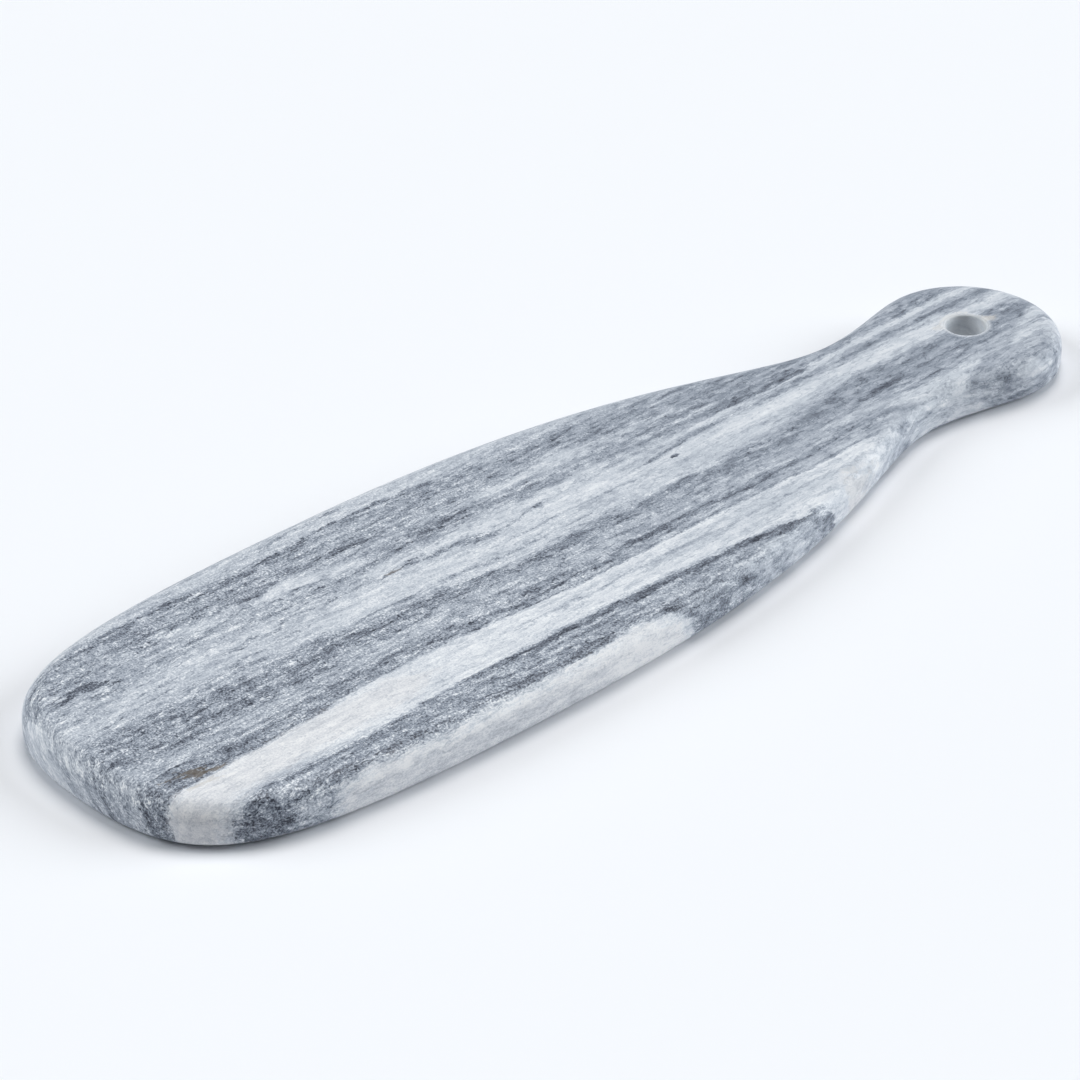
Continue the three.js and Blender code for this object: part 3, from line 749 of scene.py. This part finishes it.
@dataclass(frozen=True)
class MarbleFinish:
    """Honed grey and white marble, solid through the stone, layered along the board.

    Lengths are millimetres, but for the relief, which is metres. A pair of numbers is where something
    starts and where it is full.
    """

    name: str = "honed_marble"
    ground: Tone = Tone.SMOKE
    veins: tuple[Vein, ...] = VEINS
    stains: tuple[Stain, ...] = STAINS

    # How far the layers lean for each millimetre of depth, and the fold that leans the other way
    lean_from: float = -48.0
    lean_rate: float = 0.032
    lean_most: float = 2.6
    fold_lean: float = 0.35
    fold_along: Pair = (35.0, 75.0)
    fold_across: Pair = (-43.0, -52.0)

    # Noise that moves the layers aside, that frays the edges of marks, and that gathers spots
    sways: tuple[Cloud, ...] = (
        Cloud("wander", 55.0, 16.0, 16.0, 1.0, 2.0),
        Cloud("waves", 14.0, 3.5, 5.0, 2.0, 2.2),
        Cloud("jitter", 1.8, 1.0, 1.2, 1.0, 1.6),
    )
    fray: Cloud = Cloud("fray", 7.0, 1.5, 2.5, 3.0, 4.0, 0.65)
    clumps: Cloud = Cloud("clumps", 34.0, 7.0, 7.0, 1.0, 0.5)

    # A curve holds numbers from 0 to 1, so the places and half widths of a path are fitted into spans
    middle_line: float = 0.5
    across_span: float = 200.0
    width_floor: float = 5.0
    width_span: float = 25.0

    # Fine patterns; the mottles show best on the sides, below the top face
    textures: tuple[Texture, ...] = TEXTURES
    mottles: Texture = MOTTLES
    grain: Texture = GRAIN
    texture_shift: float = 37.0
    texture_roughness: float = 0.6
    white: Pair = (0.6, 0.88)
    handle: Pair = (110.0, 380.0)
    side: Pair = (0.5, 5.0)
    mottles_left_on_top: float = 0.35
    thread_width: float = 0.035
    fleck_edge: Pair = (0.15, 0.28)

    # Drilled wall of the hole, painted pale partly as light reaching into the hole, and how wide its pale
    # rim is
    bore_tone: Tone = Tone.CHALK
    bore_colour: ScreenColour = (221, 224, 227)
    bore_cover: float = 0.62
    bore_rim: float = 2.6

    # Surface
    roughness: float = 0.5
    roughness_change: float = 0.25
    ior: float = 1.5
    specular: float = 0.35
    relief: float = 0.00002

    # Screen colour of each brightness
    stops: tuple[tuple[float, ScreenColour], ...] = (
        (0.20, (45, 50, 61)),
        (0.33, (77, 82, 94)),
        (0.41, (98, 104, 116)),
        (0.49, (117, 124, 136)),
        (0.57, (136, 144, 156)),
        (0.65, (157, 164, 176)),
        (0.73, (178, 184, 194)),
        (0.80, (197, 203, 211)),
        (0.84, (209, 213, 220)),
        (0.88, (220, 223, 228)),
        (0.92, (229, 232, 236)),
        (0.96, (240, 241, 243)),
    )

    def material(
        self, board_length: float, top: float, hole: Vector, hole_radius: float
    ) -> bpy.types.Material:
        """Builds the material.

        Args:
            board_length: Length of the board in metres.
            top: Height of its top face in metres.
            hole: Middle of the hole in metres.
            hole_radius: Radius of the hole in metres.

        Returns:
            The marble.
        """
        graph = NodeGraph.of_material(self.name)
        length = board_length / MILLIMETRE
        spot = self._spot(graph, length, top / MILLIMETRE)
        fray = self.fray.read(graph, spot.along, spot.layer, spot.depth)
        bore = self._bore(graph, spot, hole.x / MILLIMETRE + length / 2, hole_radius / MILLIMETRE)

        tone: Value = self.ground.value
        for mark in self.veins:
            cover = self._mask(graph, mark, spot, fray, length) * mark.cover
            tone = graph.blend(cover, tone, mark.tone.value)
        # Pale drilled wall and rim: the rim in the stone's own colour, and on the wall partly painted light
        # inside the hole
        tone = graph.blend(bore, tone, self.bore_tone.value)
        tone, grain = self._textured(graph, tone, spot)

        stops = [(where, linear(*shade)) for where, shade in self.stops]
        colour = graph.out(graph.node("ShaderNodeValToRGB", {"stops": stops}, {0: tone}))
        for mark in self.stains:
            cover = self._mask(graph, mark, spot, fray, length) * mark.cover
            colour = graph.tint(cover, colour, linear(*mark.colour))
        graph.finish(
            {
                # Pale colour of the drilled wall and rim, on the wall partly painted light inside the hole
                "Base Color": graph.tint(bore, colour, linear(*self.bore_colour)),
                "Roughness": self.roughness + grain * self.roughness_change,
                "IOR": self.ior,
                "Specular IOR Level": self.specular,
            },
            bump=grain,
            depth=self.relief,
        )
        return graph.owner

    def _spot(self, graph: NodeGraph, length: float, top: float) -> Spot:
        """Finds where in the stone a point lies.

        Args:
            graph: The material.
            length: Length of the board.
            top: Height of its top face.

        Returns:
            The spot. Its layers lean with the depth, more towards the far side, and lean the other way in
            the fold along the near side.
        """
        scaled = graph.node(
            "ShaderNodeVectorMath", {"operation": "SCALE"}, {0: graph.place(), "Scale": 1 / MILLIMETRE}
        )
        split = graph.node("ShaderNodeSeparateXYZ", None, {0: graph.out(scaled)})
        along = graph.out(split, 0) + length / 2
        across = graph.out(split, 1)
        depth = top - graph.out(split, 2)
        lean = graph.math("MAXIMUM", across - self.lean_from, 0.0) * self.lean_rate
        fold = graph.smooth(along, *self.fold_along) * graph.smooth(across, *self.fold_across)
        upright = across + (graph.math("MINIMUM", lean, self.lean_most) - fold * self.fold_lean) * depth
        layer = upright
        for sway in self.sways:
            layer = layer + sway.read(graph, along, upright, depth)
        return Spot(along, across, depth, layer)

    def _bore(self, graph: NodeGraph, spot: Spot, hole_along: float, radius: float) -> Wire:
        """Works out how much paler than the honed stone the drilled wall and its rim are: the rim's
        paleness is the stone's own, and on the wall it is partly painted light reaching into the hole.

        Args:
            graph: The material.
            spot: Where in the stone the point lies.
            hole_along: Middle of the hole along the board.
            radius: Radius of the hole.

        Returns:
            The bore's cover on the wall and 0 away from the hole.
        """
        aside = spot.along - hole_along
        distance = graph.math("SQRT", aside * aside + spot.across * spot.across)
        return graph.smooth(distance, radius + self.bore_rim, radius) * self.bore_cover

    def _mask(self, graph: NodeGraph, mark: Mark, spot: Spot, fray: Wire, length: float) -> Wire:
        """Works out how much of a mark lies on a point.

        Args:
            graph: The material.
            mark: The mark.
            spot: Where in the stone the point lies.
            fray: Noise that breaks up the edges, mostly between -2 and 2.
            length: Length of the board.

        Returns:
            1 inside the mark and 0 outside it.
        """
        share = spot.along / length
        middles = []
        widths = []
        for along, across, half_width in mark.path:
            middles.append((along / length, across / self.across_span + self.middle_line))
            widths.append((along / length, (half_width + self.width_floor) / self.width_span))
        middle, width = (
            graph.out(
                graph.node("ShaderNodeFloatCurve", {"label": mark.name, "points": points}, {"Value": share})
            )
            for points in (middles, widths)
        )
        centre = (middle - self.middle_line) * self.across_span
        half = width * self.width_span - self.width_floor + fray * mark.fray
        return graph.smooth(abs(spot.layer - centre), half + mark.blur / 2, half - mark.blur / 2)

    def _textured(self, graph: NodeGraph, tone: Wire, spot: Spot) -> tuple[Wire, Wire]:
        """Adds the fine patterns to the tone of the veins.

        Args:
            graph: The material.
            tone: Brightness of the veins.
            spot: Where in the stone the point lies.

        Returns:
            Brightness of the stone, and the noise of its grain, which is the last of the patterns.
        """
        whiteness = graph.smooth(tone, *self.white)
        towards_handle = graph.smooth(spot.along, *self.handle)
        down_side = graph.smooth(spot.depth, *self.side)
        clumps = self.clumps.read(graph, spot.along, spot.layer, spot.depth)
        for number, texture in enumerate((*self.textures, self.mottles, self.grain)):
            place = graph.join(
                spot.along / texture.along + self.texture_shift * number,
                spot.layer / texture.across,
                spot.depth / texture.across,
            )
            noise = graph.noise(place, texture.detail, self.texture_roughness, texture.name)
            pattern = noise
            if texture.pattern is Pattern.THREAD:
                pattern = graph.smooth(abs(noise), self.thread_width, 0.0)
            elif texture.pattern is Pattern.FLECK:
                pattern = graph.smooth(noise + clumps, *self.fleck_edge)
            amount = graph.blend(whiteness, texture.amount, texture.amount * texture.left_on_white)
            amount = amount * graph.blend(towards_handle, 1.0, texture.left_at_handle)
            if texture is self.mottles:
                amount = amount * graph.blend(down_side, self.mottles_left_on_top, 1.0)
            tone = tone + pattern * amount
        return tone, noise


Shades = tuple[Colour, Colour]
Sockets = tuple[tuple[str, float], ...]


@dataclass(frozen=True)
class PatchyFinish:
    """A plain finish in patches of two close shades, with its relief in metres.

    The fixed sockets are those of the shader that are the same all over.
    """

    name: str
    shades: Shades
    patches_per_metre: float
    detail: float
    roughness: float
    fixed_sockets: Sockets
    roughness_change: float = 0.0
    relief: float = 0.0

    def material(self) -> bpy.types.Material:
        """Builds the material.

        Returns:
            The material.
        """
        graph = NodeGraph.of_material(self.name)
        noise_inputs = {"Vector": graph.place(), "Scale": self.patches_per_metre, "Detail": self.detail}
        patches = graph.out(graph.node("ShaderNodeTexNoise", None, noise_inputs))
        roughness: Value = self.roughness
        if self.roughness_change:
            roughness = self.roughness + patches * self.roughness_change
        colour = graph.tint(patches, *self.shades)
        graph.finish(
            {"Base Color": colour, "Roughness": roughness, **dict(self.fixed_sockets)},
            bump=patches if self.relief else None,
            depth=self.relief,
        )
        return graph.owner


@dataclass(frozen=True)
class SiliconeFinish(PatchyFinish):
    """Milky, slightly dusty silicone of the feet."""

    name: str = "milky_silicone"
    shades: Shades = (linear(184, 186, 182), linear(205, 207, 204))
    patches_per_metre: float = 900.0
    detail: float = 3.0
    roughness: float = 0.55
    fixed_sockets: Sockets = (("IOR", 1.43),)
    roughness_change: float = 0.2
    relief: float = 0.00005


@dataclass(frozen=True)
class AdhesiveFinish(PatchyFinish):
    """Yellowish film of adhesive between a foot and the stone."""

    name: str = "adhesive_film"
    shades: Shades = (linear(229, 223, 204), linear(206, 196, 168))
    patches_per_metre: float = 500.0
    detail: float = 2.0
    roughness: float = 0.4
    fixed_sockets: Sockets = (("IOR", 1.47),)
    roughness_change: float = 0.3


@dataclass(frozen=True)
class FloorFinish(PatchyFinish):
    """Pale, plain paper sweep."""

    name: str = "pale_paper"
    shades: Shades = ((0.89, 0.897, 0.925), (0.88, 0.887, 0.915))
    patches_per_metre: float = 1.5
    detail: float = 1.0
    roughness: float = 0.9
    fixed_sockets: Sockets = (("Specular IOR Level", 0.1),)


class MeshPart(Enum):
    """What is selected in a mesh."""

    EDGES = "EDGE"
    FACES = "FACE"


def deselect_all() -> None:
    """Deselects every object, because an operator acts on all that is selected."""
    bpy.ops.object.select_all(action="DESELECT")


def start_selection(part: MeshPart) -> None:
    """Deselects the whole active mesh, so that parts of it can then be selected in object mode.

    Args:
        part: What is going to be selected.
    """
    bpy.ops.object.mode_set(mode="EDIT")
    bpy.ops.mesh.select_all(action="DESELECT")
    bpy.ops.mesh.select_mode(type=part.value)
    bpy.ops.object.mode_set(mode="OBJECT")


def round_edges(
    piece: bpy.types.Object, wanted: Callable[[Vector], bool], radius: float, steps: int
) -> None:
    """Rounds edges of the active piece, picked by the places of their two ends.

    Args:
        piece: The piece.
        wanted: Takes the place of an end and says whether it is on an edge to be rounded.
        radius: Radius of the rounding.
        steps: How many faces make up the rounding.
    """
    start_selection(MeshPart.EDGES)
    mesh = piece.data
    for edge in mesh.edges:
        edge.select = all(wanted(mesh.vertices[index].co) for index in edge.vertices)
    bpy.ops.object.mode_set(mode="EDIT")
    bpy.ops.mesh.bevel(offset=radius, offset_type="OFFSET", segments=steps, profile=ROUND_PROFILE)
    bpy.ops.object.mode_set(mode="OBJECT")


@dataclass
class MarbleSlab:
    """The stone: a paddle cut from one slab, with rounded edges and a hanging hole."""

    node: str = "marble_slab"
    widest_from_front: float = 0.149
    neck_width: float = 0.057
    neck_from_handle_end: float = 0.083
    grip_radius: float = 0.0355
    top_edge_radius: float = 0.0075
    bottom_edge_radius: float = 0.003
    hole_radius: float = 0.0075
    hole_edge_radius: float = 0.0012
    front_fullness: Pair = (0.86, 0.83)
    shoulder_fullness: Pair = (0.675, 0.165)
    neck_fullness: Pair = (0.415, 0.27)
    curve_steps: int = 56
    top_edge_steps: int = 14
    bottom_edge_steps: int = 8
    hole_steps: int = 96
    hole_edge_steps: int = 6
    support_margin: float = 0.0004
    low: Vector = field(init=False)
    high: Vector = field(init=False)

    def __post_init__(self) -> None:
        """Takes the slab's length, width and thickness from the frame."""
        self.low, self.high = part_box(self.node)

    @property
    def length(self) -> float:
        """Length of the board."""
        return self.high.x - self.low.x

    @property
    def thickness(self) -> float:
        """Thickness of the stone."""
        return self.high.z - self.low.z

    @property
    def hole_centre(self) -> Vector:
        """Middle of the hole, at half the board's thickness."""
        return Vector((self.high.x - self.grip_radius, 0.0, (self.low.z + self.high.z) / 2))

    def build(self) -> bpy.types.Object:
        """Models the slab.

        Returns:
            The finished piece.
        """
        piece = self._outline()
        self._thicken()
        self._round_rim(piece, self.high.z, self.top_edge_radius, self.top_edge_steps)
        self._round_rim(piece, self.low.z, self.bottom_edge_radius, self.bottom_edge_steps)
        self._drill(piece)
        self._hold_flats(piece)
        bpy.ops.object.shade_smooth_by_angle(angle=SMOOTH_UP_TO)
        return piece

    def dress(self, piece: bpy.types.Object, finish: MarbleFinish) -> None:
        """Gives the slab its stone.

        Args:
            piece: The slab.
            finish: The marble.
        """
        marble = finish.material(self.length, self.high.z, self.hole_centre, self.hole_radius)
        piece.data.materials.clear()
        piece.data.materials.append(marble)
        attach(piece, BODY)
        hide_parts(self.node)

    def _anchors(self) -> list[tuple[Vector, Vector, Vector]]:
        """Places the curve points of the outline, anticlockwise from the front end.

        Returns:
            For each point its place, the handle before it and the handle after it.
        """
        widest = self.low.x + self.widest_from_front
        neck = self.high.x - self.neck_from_handle_end
        grip = self.high.x - self.grip_radius
        half_blade = self.high.y
        front_handle = half_blade * self.front_fullness[0]
        round_handle = self.grip_radius * CIRCLE_HANDLE

        # One side's points from the front: along the board, across it, and the handles before and after
        to_widest = self.widest_from_front * self.front_fullness[1]
        from_widest = (neck - widest) * self.shoulder_fullness[0]
        to_neck = (neck - widest) * self.shoulder_fullness[1]
        from_neck = (grip - neck) * self.neck_fullness[0]
        to_grip = (grip - neck) * self.neck_fullness[1]
        side = (
            (widest, half_blade, to_widest, from_widest),
            (neck, self.neck_width / 2, to_neck, from_neck),
            (grip, self.grip_radius, to_grip, round_handle),
        )

        front = Vector((self.low.x, 0.0, 0.0))
        tip = Vector((self.high.x, 0.0, 0.0))
        ahead = Vector((1.0, 0.0, 0.0))
        left = Vector((0.0, 1.0, 0.0))
        anchors = [(front, front + left * front_handle, front - left * front_handle)]
        for along, across, before, after in side:
            point = Vector((along, -across, 0.0))
            anchors.append((point, point - ahead * before, point + ahead * after))
        anchors.append((tip, tip - left * round_handle, tip + left * round_handle))
        for along, across, before, after in reversed(side):
            point = Vector((along, across, 0.0))
            anchors.append((point, point + ahead * after, point - ahead * before))
        return anchors

    def _outline(self) -> bpy.types.Object:
        """Draws the outline as a closed curve and turns it into a loop of edges.

        Returns:
            The slab's object, with the outline at the height of the underside.
        """
        deselect_all()
        bpy.ops.curve.primitive_bezier_curve_add(location=(0, 0, 0))
        piece = bpy.context.object
        piece.name = "honed_marble_slab"
        spline = piece.data.splines[0]
        anchors = self._anchors()
        spline.bezier_points.add(len(anchors) - len(spline.bezier_points))
        spline.use_cyclic_u = True
        spline.resolution_u = self.curve_steps
        lift = Vector((0, 0, self.low.z))
        for point, (place, before, after) in zip(spline.bezier_points, anchors):
            point.handle_left_type = "FREE"
            point.handle_right_type = "FREE"
            point.co = place + lift
            point.handle_left = before + lift
            point.handle_right = after + lift
        bpy.ops.object.convert(target="MESH")
        return bpy.context.object

    def _thicken(self) -> None:
        """Fills the outline, which is active, and pulls it up to the slab's thickness."""
        bpy.ops.object.mode_set(mode="EDIT")
        bpy.ops.mesh.select_all(action="SELECT")
        bpy.ops.mesh.remove_doubles(threshold=TOUCH)
        bpy.ops.mesh.edge_face_add()
        bpy.ops.mesh.extrude_region_move(TRANSFORM_OT_translate={"value": (0, 0, self.thickness)})
        bpy.ops.mesh.select_all(action="SELECT")
        bpy.ops.mesh.normals_make_consistent(inside=False)
        bpy.ops.object.mode_set(mode="OBJECT")

    def _round_rim(self, piece: bpy.types.Object, height: float, radius: float, steps: int) -> None:
        """Rounds the rim of the slab at one height."""
        round_edges(piece, lambda place: abs(place.z - height) < TOUCH, radius, steps)

    def _drill(self, piece: bpy.types.Object) -> None:
        """Drills the hanging hole and rounds both its rims.

        Args:
            piece: The slab.
        """
        deselect_all()
        centre = self.hole_centre
        bpy.ops.mesh.primitive_cylinder_add(
            vertices=self.hole_steps, radius=self.hole_radius, depth=self.thickness * 2, location=centre
        )
        drill = bpy.context.object
        deselect_all()
        piece.select_set(True)
        bpy.context.view_layer.objects.active = piece
        cut = piece.modifiers.new("hanging_hole", "BOOLEAN")
        cut.operation = "DIFFERENCE"
        cut.solver = "EXACT"
        cut.object = drill
        bpy.ops.object.modifier_apply(modifier=cut.name)
        bpy.data.objects.remove(drill)

        def on_rim(place: Vector) -> bool:
            """Tells whether a point lies on a rim of the hole."""
            at_face = abs(abs(place.z - centre.z) - self.thickness / 2) < TOUCH
            return at_face and abs((place - centre).xy.length - self.hole_radius) < TOUCH

        round_edges(piece, on_rim, self.hole_edge_radius, self.hole_edge_steps)

    def _hold_flats(self, piece: bpy.types.Object) -> None:
        """Insets both flat faces a little, so that the rounded edges don't shade them.

        Args:
            piece: The slab.
        """
        start_selection(MeshPart.FACES)
        for face in piece.data.polygons:
            face.select = abs(abs(face.normal.z) - 1) < TOUCH
        bpy.ops.object.mode_set(mode="EDIT")
        bpy.ops.mesh.inset(thickness=self.support_margin, depth=0.0)
        bpy.ops.object.mode_set(mode="OBJECT")


@dataclass
class StickOnFeet:
    """Round silicone pads under the blade and the adhesive that holds them."""

    corners: tuple[str, ...] = ("front_left", "front_right", "rear_left", "rear_right")
    eased_edge: float = 0.00025
    round_steps: int = 64
    edge_steps: int = 3

    def build(self) -> list[bpy.types.Object]:
        """Models one foot and copies it to each corner.

        Returns:
            The feet.
        """
        master = self._foot()
        feet = []
        for corner in self.corners:
            low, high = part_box(f"foot_{corner}")
            foot = master.copy()
            foot.data = master.data.copy()
            foot.name = f"silicone_foot_{corner}"
            bpy.context.scene.collection.objects.link(foot)
            foot.data.transform(Matrix.Translation((low + high) / 2))
            feet.append(foot)
        bpy.data.objects.remove(master)
        return feet

    def dress(self, feet: list[bpy.types.Object], pad: SiliconeFinish, film: AdhesiveFinish) -> None:
        """Gives feet and adhesive their materials.

        Args:
            feet: The feet, in the order of the corners.
            pad: Finish of the feet.
            film: Finish of the adhesive.
        """
        silicone = pad.material()
        adhesive = film.material()
        for corner, foot in zip(self.corners, feet):
            foot.data.materials.clear()
            foot.data.materials.append(silicone)
            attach(foot, BODY)
            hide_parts(f"foot_{corner}")
            film_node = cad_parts[f"adhesive_{corner}"]
            film_node.data.materials.clear()
            film_node.data.materials.append(adhesive)

    def _foot(self) -> bpy.types.Object:
        """Models a foot about the origin, with its lower rim eased.

        Returns:
            The foot.
        """
        low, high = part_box(f"foot_{self.corners[0]}")
        size = high - low
        deselect_all()
        bpy.ops.mesh.primitive_cylinder_add(
            vertices=self.round_steps, radius=size.x / 2, depth=size.z, location=(0, 0, 0)
        )
        foot = bpy.context.object
        round_edges(
            foot, lambda place: abs(place.z + size.z / 2) < TOUCH, self.eased_edge, self.edge_steps
        )
        bpy.ops.object.shade_smooth_by_angle(angle=SMOOTH_UP_TO)
        return foot


class SoftLight(NamedTuple):
    """A broad, distant light of one colour.

    The bearing says where it comes from, in degrees: 0 from the camera, 90 from its right and 180 from
    behind the board. Height and spread are degrees too, and the share is how brightly it lights the floor.
    """

    name: str
    bearing: float
    height: float
    spread: float
    share: float
    colour: Colour


@dataclass
class Studio:
    """Pale floor, soft light from behind and both sides, and the camera."""

    floor_size: float = 12.0
    dome_light: float = 0.045
    dome_colour: Colour = (0.82, 0.92, 1.0)
    lights: tuple[SoftLight, ...] = (
        SoftLight("back_light", 166.0, 71.0, 34.0, 0.49, (1.0, 0.985, 0.965)),
        SoftLight("right_light", 99.0, 24.5, 36.0, 0.28, (0.915, 0.965, 1.0)),
        SoftLight("left_light", -98.0, 32.0, 36.0, 0.29, (0.915, 0.965, 1.0)),
    )
    camera_place: Vector = field(default_factory=lambda: Vector((-0.8886, -0.9040, 0.7762)))
    camera_turn: float = math.radians(-43.64)
    camera_dip: float = math.radians(31.38)
    sensor_width: float = 36.0
    lens: float = 144.35

    def build(self, finish: FloorFinish) -> None:
        """Sets up floor, light and camera.

        Args:
            finish: The floor's finish.
        """
        self._floor(finish)
        self._dome()
        for light in self.lights:
            self._light(light)
        self._camera()
        bpy.context.scene.view_settings.view_transform = "Standard"

    def _floor(self, finish: FloorFinish) -> None:
        """Lays the floor.

        Args:
            finish: The floor's finish.
        """
        deselect_all()
        bpy.ops.mesh.primitive_plane_add(size=self.floor_size, location=(0, 0, 0))
        floor = bpy.context.object
        floor.name = "floor"
        floor.data.materials.append(finish.material())

    def _dome(self) -> None:
        """Lights the scene dimly from all around."""
        world = bpy.data.worlds.new("studio_dome")
        graph = NodeGraph(world)
        background = graph.node(
            "ShaderNodeBackground", None, {"Color": self.dome_colour, "Strength": self.dome_light}
        )
        graph.node("ShaderNodeOutputWorld", None, {"Surface": graph.out(background)})
        bpy.context.scene.world = world

    def _light(self, light: SoftLight) -> None:
        """Hangs a soft light, as strong as its share of the floor's light needs at its height.

        Args:
            light: The light.
        """
        height = math.radians(light.height)
        lamp = bpy.data.lights.new(light.name, "SUN")
        lamp.energy = light.share * math.pi / math.sin(height)
        lamp.angle = math.radians(light.spread)
        lamp.color = light.colour
        lamp_object = bpy.data.objects.new(light.name, lamp)
        bpy.context.scene.collection.objects.link(lamp_object)
        turn = self.camera_turn + math.radians(light.bearing)
        lamp_object.rotation_euler = (math.pi / 2 - height, 0.0, turn)

    def _camera(self) -> None:
        """Stands the camera where the photograph was taken from."""
        data = bpy.data.cameras.new("camera")
        data.sensor_width = self.sensor_width
        data.lens = self.lens
        camera = bpy.data.objects.new("camera", data)
        bpy.context.scene.collection.objects.link(camera)
        camera.location = self.camera_place
        camera.rotation_euler = (math.pi / 2 - self.camera_dip, 0.0, self.camera_turn)
        bpy.context.scene.camera = camera


def main() -> None:
    """Builds and dresses the board and sets up the studio."""
    logging.basicConfig(level=logging.INFO, format="%(name)s: %(message)s")
    Studio().build(FloorFinish())
    slab = MarbleSlab()
    stone = slab.build()
    slab.dress(stone, MarbleFinish())
    LOG.info("%s has %d faces", stone.name, len(stone.data.polygons))
    feet = StickOnFeet()
    pads = feet.build()
    feet.dress(pads, SiliconeFinish(), AdhesiveFinish())
    for pad in pads:
        LOG.info("%s has %d faces", pad.name, len(pad.data.polygons))


if __name__ == "__main__":
    main()
